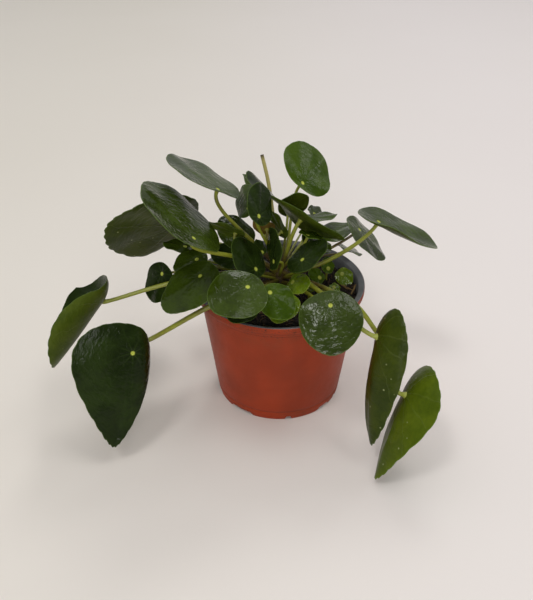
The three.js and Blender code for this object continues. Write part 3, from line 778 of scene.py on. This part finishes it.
def blade_mesh(name, leaf, settings):
    """One closed blade. Its UV map holds the flat places and its attributes the side and the rim."""
    top, x, y, rim = blade_sheet(leaf, settings)
    full = settings.thickness / MM
    thickness = full * (0.55 + 0.45 * np.clip(rim / 3.0, 0, 1))
    bottom = top - sheet_normals(top) * thickness[..., None]
    lip = (top[-1] + bottom[-1]) / 2 + (top[-1] - top[-2]) * 0.5
    normal = leaf_axes(leaf)[0]
    pole = leaf["at"] - normal * 0.5
    mesh = loft(name, [*top, lip, *bottom[::-1]], pole, pole - normal * full)

    def both_faces(upper, lower, edge, poles):
        return np.concatenate([upper.ravel(), edge, lower[::-1].ravel(), poles])

    give(mesh, "under", both_faces(0 * x, 1 + 0 * x, 0.5 + 0 * x[-1], [0, 1]))
    give(mesh, "rim_mm", both_faces(rim, rim, 0 * x[-1], [30, 30]))
    flat = np.stack([both_faces(v, v, v[-1], [0, 0]) for v in (x, y)], axis=1)
    corner = np.zeros(len(mesh.loops), dtype=np.int32)
    mesh.loops.foreach_get("vertex_index", corner)
    mesh.uv_layers.new(name="blade").data.foreach_set("uv", flat[corner].ravel() / UV_MM)
    return mesh


def check_against_frame(obj, node):
    """Stops if a blade has strayed from the CAD node that it stands for."""
    low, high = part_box(node)
    points = np.array([v.co for v in obj.data.vertices])
    stray = max(np.abs(points.min(0) - np.array(low)).max(), np.abs(points.max(0) - np.array(high)).max())
    if stray > MOST_STRAY * MM:
        raise RuntimeError(f"{obj.name} is {stray / MM:.1f} mm away from {node}")


def bezier(points, count):
    """Points along a cubic curve with four control points."""
    a, b, c, d = (np.array(p, float) for p in points)
    t = np.linspace(0, 1, count)[:, None]
    return a * (1 - t) ** 3 + 3 * b * t * (1 - t) ** 2 + 3 * c * t**2 * (1 - t) + d * t**3


def smooth_run(points, count):
    """A smooth line through all the points (centripetal Catmull-Rom)."""
    p = [np.array(q, float) for q in points]
    p = [2 * p[0] - p[1]] + p + [2 * p[-1] - p[-2]]

    def slope(before, here, after, gap, next_gap):
        return (here - before) / gap - (after - before) / (gap + next_gap) + (after - here) / next_gap

    line = []
    for i in range(1, len(p) - 2):
        gaps = [max(np.linalg.norm(p[k + 1] - p[k]) ** 0.5, 1e-6) for k in (i - 1, i, i + 1)]
        start = slope(p[i - 1], p[i], p[i + 1], gaps[0], gaps[1]) * gaps[1]
        end = slope(p[i], p[i + 1], p[i + 2], gaps[1], gaps[2]) * gaps[1]
        for t in np.linspace(0, 1, count, endpoint=i == len(p) - 3):
            line.append(
                (2 * t**3 - 3 * t**2 + 1) * p[i] + (t**3 - 2 * t**2 + t) * start
                + (3 * t**2 - 2 * t**3) * p[i + 1] + (t**3 - t**2) * end
            )
    return np.array(line)


def petiole_route(leaf):
    """The petiole's middle line, from the crown into the blade."""
    normal = leaf_axes(leaf)[0]
    height, rise, _ = leaf["stem"]
    joint = leaf["at"] - normal * JOINT_BACK
    root = np.array([0.0, 0.0, height])
    distance = np.linalg.norm(joint - root)
    before = joint - normal * leaf.get("reach", min(REACH_SHARE * distance, LONGEST_REACH))
    if "via" in leaf:
        route = smooth_run([root, *leaf["via"], before, joint], 12)
    else:
        heading = math.atan2(joint[1], joint[0]) + math.radians(leaf.get("aside", 0))
        rise = math.radians(rise)
        way = (math.cos(heading) * math.cos(rise), math.sin(heading) * math.cos(rise), math.sin(rise))
        route = bezier([root, root + np.array(way) * START_SHARE * distance, before, joint], 30)
    return np.vstack([route, [joint + normal * 0.5]])


def stem_run(route, radius, flare, brown):
    """A stem for line_object: stout at its root, spread at the blade, with its material's masks."""
    steps = np.linalg.norm(np.diff(route, axis=0), axis=1)
    run = np.concatenate([[0], np.cumsum(steps)])
    share = run / run[-1]
    girth = radius * (1.12 - 0.22 * share + flare * np.exp(-(run[-1] - run) / 1.3) + 0.25 * np.exp(-run / 5))
    none = 0 * share
    stored = dict(girth=girth * MM, along=share, brown=none + brown, cut=none, dry=none)
    return dict(route=route, stored=stored)


def crown_runs():
    """Every petiole and the cut one."""
    runs = [
        stem_run(petiole_route(leaf), leaf["stem"][2] * 0.95, 0.7, leaf.get("brown", 0))
        for leaf in LEAVES.values()
    ]
    stub = stem_run(smooth_run(STUB, 14), STUB_RADIUS, 0.0, 0)
    share = stub["stored"]["along"]
    cut, dry = np.clip((share - 0.96) / 0.04, 0, 1), np.clip(share * 4 - 1, 0, 1)
    stub["stored"].update(along=share * 0.9, cut=cut, dry=dry)
    return runs + [stub]


def line_object(name, runs):
    """Open lines as one object. Each run is a dict of route, and of numbers stored for its points."""
    points, edges, stored = [], [], {}
    for run in runs:
        first = len(points)
        points += [tuple(float(c) * MM for c in p) for p in run["route"]]
        edges += [(i, i + 1) for i in range(first, len(points) - 1)]
        for key, values in run["stored"].items():
            stored.setdefault(key, []).extend(values)
    mesh = bpy.data.meshes.new(name)
    mesh.from_pydata(points, edges, [])
    for key, values in stored.items():
        give(mesh, key, values)
    return put(name, mesh)


def plain_mesh(obj):
    """The object's mesh with its modifiers worked in and removed."""
    graph = bpy.context.evaluated_depsgraph_get()
    made = obj.evaluated_get(graph)
    mesh = bpy.data.meshes.new_from_object(made, preserve_all_data_layers=True, depsgraph=graph)
    obj.modifiers.clear()
    old, obj.data = obj.data, mesh
    bpy.data.meshes.remove(old)


def grow(obj, name, **inputs):
    """Runs a Geometry Nodes tree on the object and leaves the result as its plain mesh."""
    tree = shared_tree(name)
    modifier = obj.modifiers.new(name, "NODES")
    modifier.node_group = tree
    for item in tree.interface.items_tree:
        if item.item_type == "SOCKET" and item.in_out == "INPUT" and item.name in inputs:
            modifier[item.identifier] = inputs[item.name]
    plain_mesh(obj)


def close_pieces(nodes, geometry, material):
    """Ends a Geometry Nodes tree: plain geometry with its material."""
    real = nodes.add("GeometryNodeRealizeInstances", {0: geometry})
    return nodes.close(nodes.add("GeometryNodeSetMaterial", {0: real, "Material": material}))


def stem_tree(name):
    """Lines into round stems, as thick as their points say."""
    takes = dict(Geometry="Geometry", Sides="Int", Material="Material")
    nodes, lines, sides, material = new_tree("GeometryNodeTree", name, takes, dict(Geometry="Geometry"))
    girth = nodes.add("GeometryNodeInputNamedAttribute", {0: "girth"}, data_type="FLOAT")
    path = nodes.add("GeometryNodeMeshToCurve", {0: lines})
    ring = nodes.add("GeometryNodeCurvePrimitiveCircle", {"Resolution": sides, "Radius": 1.0})
    tube = nodes.add("GeometryNodeCurveToMesh", {0: path, 1: ring, "Scale": girth, "Fill Caps": True})
    return close_pieces(nodes, nodes.add("GeometryNodeSetShadeSmooth", {0: tube}), material)


def crumb_tree(name):
    """Crumbs scattered over upward faces within Reach of the middle, small lumps of many sizes and turns."""
    takes = dict(Geometry="Geometry", Density="Float", Size="Float", Reach="Float")
    takes.update(Seed="Int", Material="Material")
    nodes, bed, density, size, reach, seed, material = new_tree(
        "GeometryNodeTree", name, takes, dict(Geometry="Geometry"),
    )

    def random(low, high, seed, kind="FLOAT_VECTOR", first=0):
        inputs = {first: low, first + 1: high, "Seed": seed}
        return nodes.add("FunctionNodeRandomValue", inputs, out=first // 2, data_type=kind)

    inward = nodes.vector("MULTIPLY", nodes.add("GeometryNodeInputPosition"), (1, 1, 0))
    inside = nodes.math("LESS_THAN", nodes.vector("LENGTH", inward, out=1), reach)
    upward = nodes.part(nodes.add("GeometryNodeInputNormal"), 2)
    inputs = {0: upward * inside, 1: 0.4}
    chosen = nodes.add("FunctionNodeCompare", inputs, data_type="FLOAT", operation="GREATER_THAN")
    inputs = {"Mesh": bed, "Selection": chosen, "Density": density, "Seed": seed}
    places = nodes.add("GeometryNodeDistributePointsOnFaces", inputs)
    coarse = nodes.math("POWER", random(0.0, 1.0, seed, "FLOAT", 2), 5.0)
    size = nodes.math("MULTIPLY_ADD", coarse, 2.4, 0.5) * size
    spread = nodes.add("GeometryNodeInstanceOnPoints", {
        "Points": places,
        "Instance": nodes.add("GeometryNodeMeshIcoSphere", {"Radius": 1.0, "Subdivisions": 1}),
        "Rotation": random((0, 0, 0), (6.28, 6.28, 6.28), 11),
        "Scale": nodes.vector("SCALE", random((0.6, 0.6, 0.5), (1.4, 1.4, 1.1), 3), scale=size),
    })
    lumps = nodes.add("GeometryNodeRealizeInstances", {0: spread})
    push = nodes.add("ShaderNodeTexNoise", {"Scale": 900.0, "Detail": 1.0}, out=1)
    offset = nodes.vector("SCALE", nodes.vector("SUBTRACT", push, (0.5, 0.5, 0.5)), scale=0.0012)
    return close_pieces(nodes, nodes.add("GeometryNodeSetPosition", {0: lumps, "Offset": offset}), material)


TREES = {
    "Leaf veins": vein_group, "Soil dust": dust_group, "Mottle": mottle_group,
    "Round stems": stem_tree, "Soil crumbs": crumb_tree,
}


def pot_section():
    """The pot's section from under its middle, out, up, over the rim and in, and where grey starts."""
    slope = (WALL_TOP_RADIUS - FOOT_RADIUS) / WALL_TOP
    section = [(PAD_RADIUS * 0.5, 0), (PAD_RADIUS, 0)]
    section += [(PAD_RADIUS + 1, FOOT_HEIGHT), (DRAIN_RING, FOOT_HEIGHT)]
    foot = ((-4, FOOT_HEIGHT), (-3.2, 0.3), (-2.9, 0), (-0.5, 0), (-0.1, 0.2), (0, 0.6))
    section += [(FOOT_RADIUS + out, up) for out, up in foot]
    for height in (1.5, 2.6, 3.2, 4.5, FOOT_STEP - 0.5, FOOT_STEP - 0.15, FOOT_STEP + 0.15, FOOT_STEP + 0.5):
        dent = 0.22 if abs(height - FOOT_STEP) < 0.3 else 0.0
        section.append((FOOT_RADIUS + slope * height - dent, height))
    section += [(FOOT_RADIUS + slope * height, height) for height in np.linspace(10, 80, 15)]
    ledge = ((-0.1, -0.6), (0.1, -0.35), (0.9, -0.2))
    section += [(WALL_TOP_RADIUS + out, WALL_TOP + up) for out, up in ledge]
    section += [(LIP_RADIUS + out, WALL_TOP + up) for out, up in ((-0.5, 0), (-0.1, 0.25), (0, 0.7))]
    section += [(LIP_RADIUS + out, POT_HEIGHT + up) for out, up in ((0, -1.2), (-0.05, -0.5))]
    grey_from = len(section)
    rim = ((-0.25, -0.12), (-0.6, 0), (-0.95, -0.1), (-1.3, -0.5), (-3.9, -1.3), (-4.4, -1.8))
    section += [(LIP_RADIUS + out, POT_HEIGHT + up) for out, up in rim]
    section += [(INNER_TOP_RADIUS - 0.3, WALL_TOP - 1)]
    slope = (INNER_TOP_RADIUS - INNER_FOOT_RADIUS) / (WALL_TOP - FLOOR)
    for height in (78, 60, 40, 20, 6, FLOOR + 0.3):
        section.append((INNER_FOOT_RADIUS + slope * (height - FLOOR) - 0.2, height))
    section += [(INNER_FOOT_RADIUS - 1.5, FLOOR), (DRAIN_RING, FLOOR), (PAD_RADIUS * 0.5, FLOOR)]
    return section, grey_from


def notch_lift(turn):
    """How far the foot is cut up at each turn: notches with sloping ends."""
    lift = np.zeros_like(turn)
    for place, width in NOTCHES:
        centre = math.radians(place - 90)
        away = np.abs((turn - centre + np.pi) % (2 * np.pi) - np.pi) * FOOT_RADIUS
        slope = 1.0 if width < 8 else 3.0
        lift = np.maximum(lift, NOTCH_HEIGHT * np.clip((width / 2 - away) / slope + 0.5, 0, 1))
    return lift


def pot_mesh(columns):
    """The pot as one closed skin of two colours, with a foot that stands on what the notches leave."""
    section, grey_from = pot_section()
    turn = turns(columns)
    lift = notch_lift(turn)
    rows = []
    for radius, height in section:
        foot = radius > FOOT_RADIUS - FOOT_WIDTH and height < NOTCH_HEIGHT + 0.4
        wobble = 0.12 * np.sin(3 * turn + 0.6) if height > 20 else 0.0
        rows.append(circle(radius + wobble, turn, np.maximum(height, lift) if foot else height))
    mesh = loft("nursery_pot", rows, (0, 0, 0), (0, 0, FLOOR))
    # Bands of faces run out and up, over and in; then come those round the lower pole and the upper one.
    bands = [0] * grey_from + [1] * (len(rows) - 1 - grey_from) + [0, 1]
    mesh.polygons.foreach_set("material_index", np.repeat(bands, columns))
    return mesh


def cut_drains(obj):
    """Cuts the drain holes through the base."""
    tools = []
    for turn in turns(DRAIN_COUNT):
        centre = np.array([DRAIN_RING * math.cos(turn), DRAIN_RING * math.sin(turn), 0])
        low, high = centre + (0, 0, FOOT_HEIGHT - 2), centre + (0, 0, FLOOR + 2)
        rings = [circle(DRAIN_RADIUS, turns(32), 0) + end for end in (low, high)]
        tools.append(put("drain", loft("drain", rings, low, high)))
        cut = obj.modifiers.new("drain", "BOOLEAN")
        cut.operation, cut.object, cut.solver = "DIFFERENCE", tools[-1], "EXACT"
    plain_mesh(obj)
    for tool in tools:
        bpy.data.objects.remove(tool)


def soil_height(x, y, radius):
    """The soil's surface: the gentle relief of the solid, with crumbly lumps and a low edge."""
    relief = SOIL_RELIEF * math.sin(0.31 * x + 1) * math.cos(0.27 * y + 0.4)
    lumps = 1.1 * noise.noise(Vector((x * 0.16, y * 0.16, 3.1)))
    lumps += 0.7 * noise.noise(Vector((x * 0.45, y * 0.45, 1.7)))
    edge = 1.6 * max(0.0, (radius - 46) / 9) ** 2
    return SOIL_TOP + relief + lumps - edge


def soil_mesh():
    """The soil as one closed body with a fine upper surface."""
    turn = turns(144)
    rows = []
    for radius in np.linspace(1.2, SOIL_RADIUS, 46):
        ring = circle(radius, turn, 0)
        ring[:, 2] = [soil_height(x, y, radius) for x, y in ring[:, :2]]
        rows.append(ring)
    foot = INNER_FOOT_RADIUS - 0.6
    for radius, height in ((SOIL_RADIUS - 0.5, 76), (foot, FLOOR + 0.8), (foot - 0.6, FLOOR + 0.4)):
        rows.append(circle(radius, turn, height))
    return loft("soil_bed", rows, (0, 0, soil_height(0, 0, 0)), (0, 0, FLOOR + 0.4))


def fibre_runs(count):
    """Short curved fibres lying on the soil, in a fixed random draw."""
    draw = np.random.default_rng(FIBRE_SEED)
    steps = FIBRE_POINTS - 1
    runs = []
    for _ in range(count):
        radius, turn = (FIBRE_RADIUS - 1) * math.sqrt(draw.random()), draw.random() * 2 * math.pi
        length, heading, curl = draw.uniform(3, 11), draw.random() * 2 * math.pi, draw.normal(0, 0.5)
        x, y, route = radius * math.cos(turn), radius * math.sin(turn), []
        for i in range(FIBRE_POINTS):
            away = math.hypot(x, y)
            if away > FIBRE_RADIUS:
                x, y = x * FIBRE_RADIUS / away, y * FIBRE_RADIUS / away
            hump = 0.9 * math.sin(math.pi * i / steps) * draw.uniform(0.3, 1.0)
            route.append((x, y, soil_height(x, y, math.hypot(x, y)) + 0.3 + hump))
            x, y = x + length / steps * math.cos(heading), y + length / steps * math.sin(heading)
            heading += curl / 3
        girth = draw.uniform(0.12, 0.32) * MM
        pale = 0.8 if draw.random() > 0.85 else 0.0
        runs.append(dict(route=route, stored=dict(girth=[girth] * FIBRE_POINTS, pale=[pale] * FIBRE_POINTS)))
    return runs


def chip_runs():
    """The larger chips as short thick runs that taper to both ends."""
    runs = []
    share = np.linspace(0, 1, 8)
    for start, end, thick in CHIPS:
        start, end = np.array(start, float), np.array(end, float)
        route = start + (end - start) * share[:, None]
        route[:, 2] += 0.5 * np.sin(share * 9)
        girth = thick * (0.45 + 0.55 * np.sin(np.pi * share) ** 0.5) * MM
        runs.append(dict(route=route, stored=dict(girth=girth, pale=0 * share + (0.9 if thick > 1 else 0.3))))
    return runs


def trunk_mesh():
    """The short woody trunk, with rings of leaf scars."""
    turn, rows = turns(28), []
    heights, radii = zip(*TRUNK)
    for height in np.linspace(heights[0], heights[-1], 34):
        radius = np.interp(height, heights, radii) + 0.22 * math.sin(height * 2.1)
        rough = [noise.noise(Vector((math.cos(a) * 2, math.sin(a) * 2, height * 0.5))) for a in turn]
        rows.append(circle(radius + 0.35 * np.array(rough), turn, height))
    return loft("trunk", rows, (0, 0, heights[0]), (0, 0, heights[-1] + 0.4))


def join(objects, name):
    """One object out of several."""
    first = objects[0]
    chosen = dict(selected_objects=objects, selected_editable_objects=objects)
    with bpy.context.temp_override(active_object=first, **chosen):
        bpy.ops.object.join()
    first.name = name
    return first


class PILEA_OT_pot(bpy.types.Operator):
    """Make the nursery pot"""

    bl_idname = "pilea.pot"
    bl_label = "Pot"

    def execute(self, context):
        mesh = pot_mesh(context.scene.pilea_pot.columns)
        obj = put("nursery_pot", mesh, outside_material(), inside_material())
        cut_drains(obj)
        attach(obj, "root")
        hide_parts("pot")
        return {"FINISHED"}


class PILEA_OT_soil(bpy.types.Operator):
    """Make the potting soil, its crumbs and its fibres"""

    bl_idname = "pilea.soil"
    bl_label = "Soil"

    def execute(self, context):
        settings = context.scene.pilea_soil
        peat = peat_material()
        bed = put("soil_bed", soil_mesh(), peat)
        crumbs = put("soil_crumbs", bed.data.copy())
        grow(
            crumbs, "Soil crumbs", Density=settings.crumb_density, Size=settings.crumb_size,
            Reach=CRUMB_RADIUS * MM, Seed=settings.seed, Material=peat,
        )
        fibres = line_object("soil_fibres", fibre_runs(settings.fibres) + chip_runs())
        grow(fibres, "Round stems", Sides=5, Material=fibre_material())
        for obj in (bed, crumbs, fibres):
            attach(obj, "root")
        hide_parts("soil")
        return {"FINISHED"}


class PILEA_OT_crown(bpy.types.Operator):
    """Make the trunk with all its petioles"""

    bl_idname = "pilea.crown"
    bl_label = "Crown"

    def execute(self, context):
        stems = line_object("crown_stems", crown_runs())
        grow(stems, "Round stems", Sides=context.scene.pilea_stems.sides, Material=stem_material())
        trunk = put("trunk", trunk_mesh(), bark_material())
        obj = join([stems, trunk], "crown_stems")
        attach(obj, "root")
        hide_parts("crown")
        return {"FINISHED"}


class PILEA_OT_blades(bpy.types.Operator):
    """Make every blade with its own finish"""

    bl_idname = "pilea.blades"
    bl_label = "Blades"

    def execute(self, context):
        settings = context.scene.pilea_blades
        for node, leaf in LEAVES.items():
            name = node.replace("leaf_", "blade_")
            obj = put(name, blade_mesh(name, leaf, settings), blade_material(leaf["look"]))
            check_against_frame(obj, node)
            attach(obj, "root")
            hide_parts(node)
        return {"FINISHED"}


class PILEA_OT_shoots(bpy.types.Operator):
    """Make the young shoots that come out of the soil"""

    bl_idname = "pilea.shoots"
    bl_label = "Shoots"

    def execute(self, context):
        settings = context.scene.pilea_blades
        petiole = bpy.data.materials.get("Petiole") or stem_material()
        for node, leaf in PUPS.items():
            name = node.replace("pup_", "shoot_")
            blade = put(name + "_blade", blade_mesh(name, leaf, settings), blade_material(leaf["look"]))
            normal = leaf_axes(leaf)[0]
            joint = leaf["at"] - normal * 0.4
            x, y, z = before = joint - normal * 3
            route = bezier([(x, y, PUP_BOTTOM), (x, y, z - 2), before, joint], 16)
            stem = line_object(name, [stem_run(route, leaf["stem"], 0.5, 0.25)])
            grow(stem, "Round stems", Sides=10, Material=petiole)
            obj = join([stem, blade], name)
            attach(obj, "root")
            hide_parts(node)
        return {"FINISHED"}


def look_at(obj, point):
    """Turns a lamp or the camera towards a point."""
    obj.rotation_euler = (Vector(point) - obj.location).to_track_quat("-Z", "Y").to_euler()


def room_light(strength):
    """Even light from the room: brightest above and behind the plant, dim at the sides and the front."""
    world = bpy.data.worlds.new("Room")
    world.use_nodes = True
    nodes = Nodes(world.node_tree)
    background = world.node_tree.nodes["Background"]
    background.inputs[0].default_value = ROOM_COLOUR
    lean = nodes.vector("DOT_PRODUCT", nodes.add("ShaderNodeTexCoord", out=0), ROOM_BRIGHT_WAY, out=1)
    nodes.feed(background.inputs[1], lean.ramp(0.0, 0.85, ROOM_DIM * strength, strength))
    return world


class PILEA_OT_stage(bpy.types.Operator):
    """Make the floor, the lights and the camera"""

    bl_idname = "pilea.stage"
    bl_label = "Stage"

    def execute(self, context):
        scene, settings = context.scene, context.scene.pilea_stage
        mesh, half = bpy.data.meshes.new("floor"), FLOOR_HALF
        corners = [(-half, -half, 0), (half, -half, 0), (half, half, 0), (-half, half, 0)]
        mesh.from_pydata(corners, [], [(0, 1, 2, 3)])
        put("floor", mesh, floor_material())
        for name, place, size, share in LAMPS:
            light = bpy.data.lights.new(name, "AREA")
            light.energy, light.size, light.color = settings.key * share, size, LAMP_COLOUR
            lamp = put(name, light)
            lamp.location = place
            look_at(lamp, LAMP_AIM)
        scene.world = room_light(settings.sky)
        camera = put("Camera", bpy.data.cameras.new("Camera"))
        camera.data.lens = camera.data.sensor_width / 2 / math.tan(settings.view_angle / 2)
        camera.location = CAMERA_PLACE
        look_at(camera, CAMERA_AIM)
        scene.camera = camera
        scene.view_settings.view_transform = "Standard"
        return {"FINISHED"}


class PILEA_PT_panel(bpy.types.Panel):
    """The pieces of the plant, one button each"""

    bl_label = "Potted pilea"
    bl_idname = "PILEA_PT_panel"
    bl_space_type = "VIEW_3D"
    bl_region_type = "UI"
    bl_category = "Pilea"

    def draw(self, context):
        for kind in OPERATORS:
            self.layout.operator(kind.bl_idname)
        for name in SETTINGS:
            group = getattr(context.scene, name)
            for key in group.bl_rna.properties.keys():
                if key not in ("name", "rna_type"):
                    self.layout.prop(group, key)


OPERATORS = (PILEA_OT_stage, PILEA_OT_pot, PILEA_OT_soil, PILEA_OT_crown, PILEA_OT_blades, PILEA_OT_shoots)
SETTINGS = {
    "pilea_pot": PotSettings,
    "pilea_soil": SoilSettings,
    "pilea_blades": BladeSettings,
    "pilea_stems": StemSettings,
    "pilea_stage": StageSettings,
}


def register():
    for kind in (*SETTINGS.values(), *OPERATORS, PILEA_PT_panel):
        bpy.utils.register_class(kind)
    for name, kind in SETTINGS.items():
        setattr(bpy.types.Scene, name, PointerProperty(type=kind))


def unregister():
    for name in SETTINGS:
        delattr(bpy.types.Scene, name)
    for kind in (PILEA_PT_panel, *reversed(OPERATORS), *reversed(SETTINGS.values())):
        bpy.utils.unregister_class(kind)


def write_sizes():
    """Brings the view layer up to date."""
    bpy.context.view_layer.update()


def main():
    register()
    for kind in OPERATORS:
        group, name = kind.bl_idname.split(".")
        getattr(getattr(bpy.ops, group), name)()
    write_sizes()


if __name__ == "__main__":
    main()
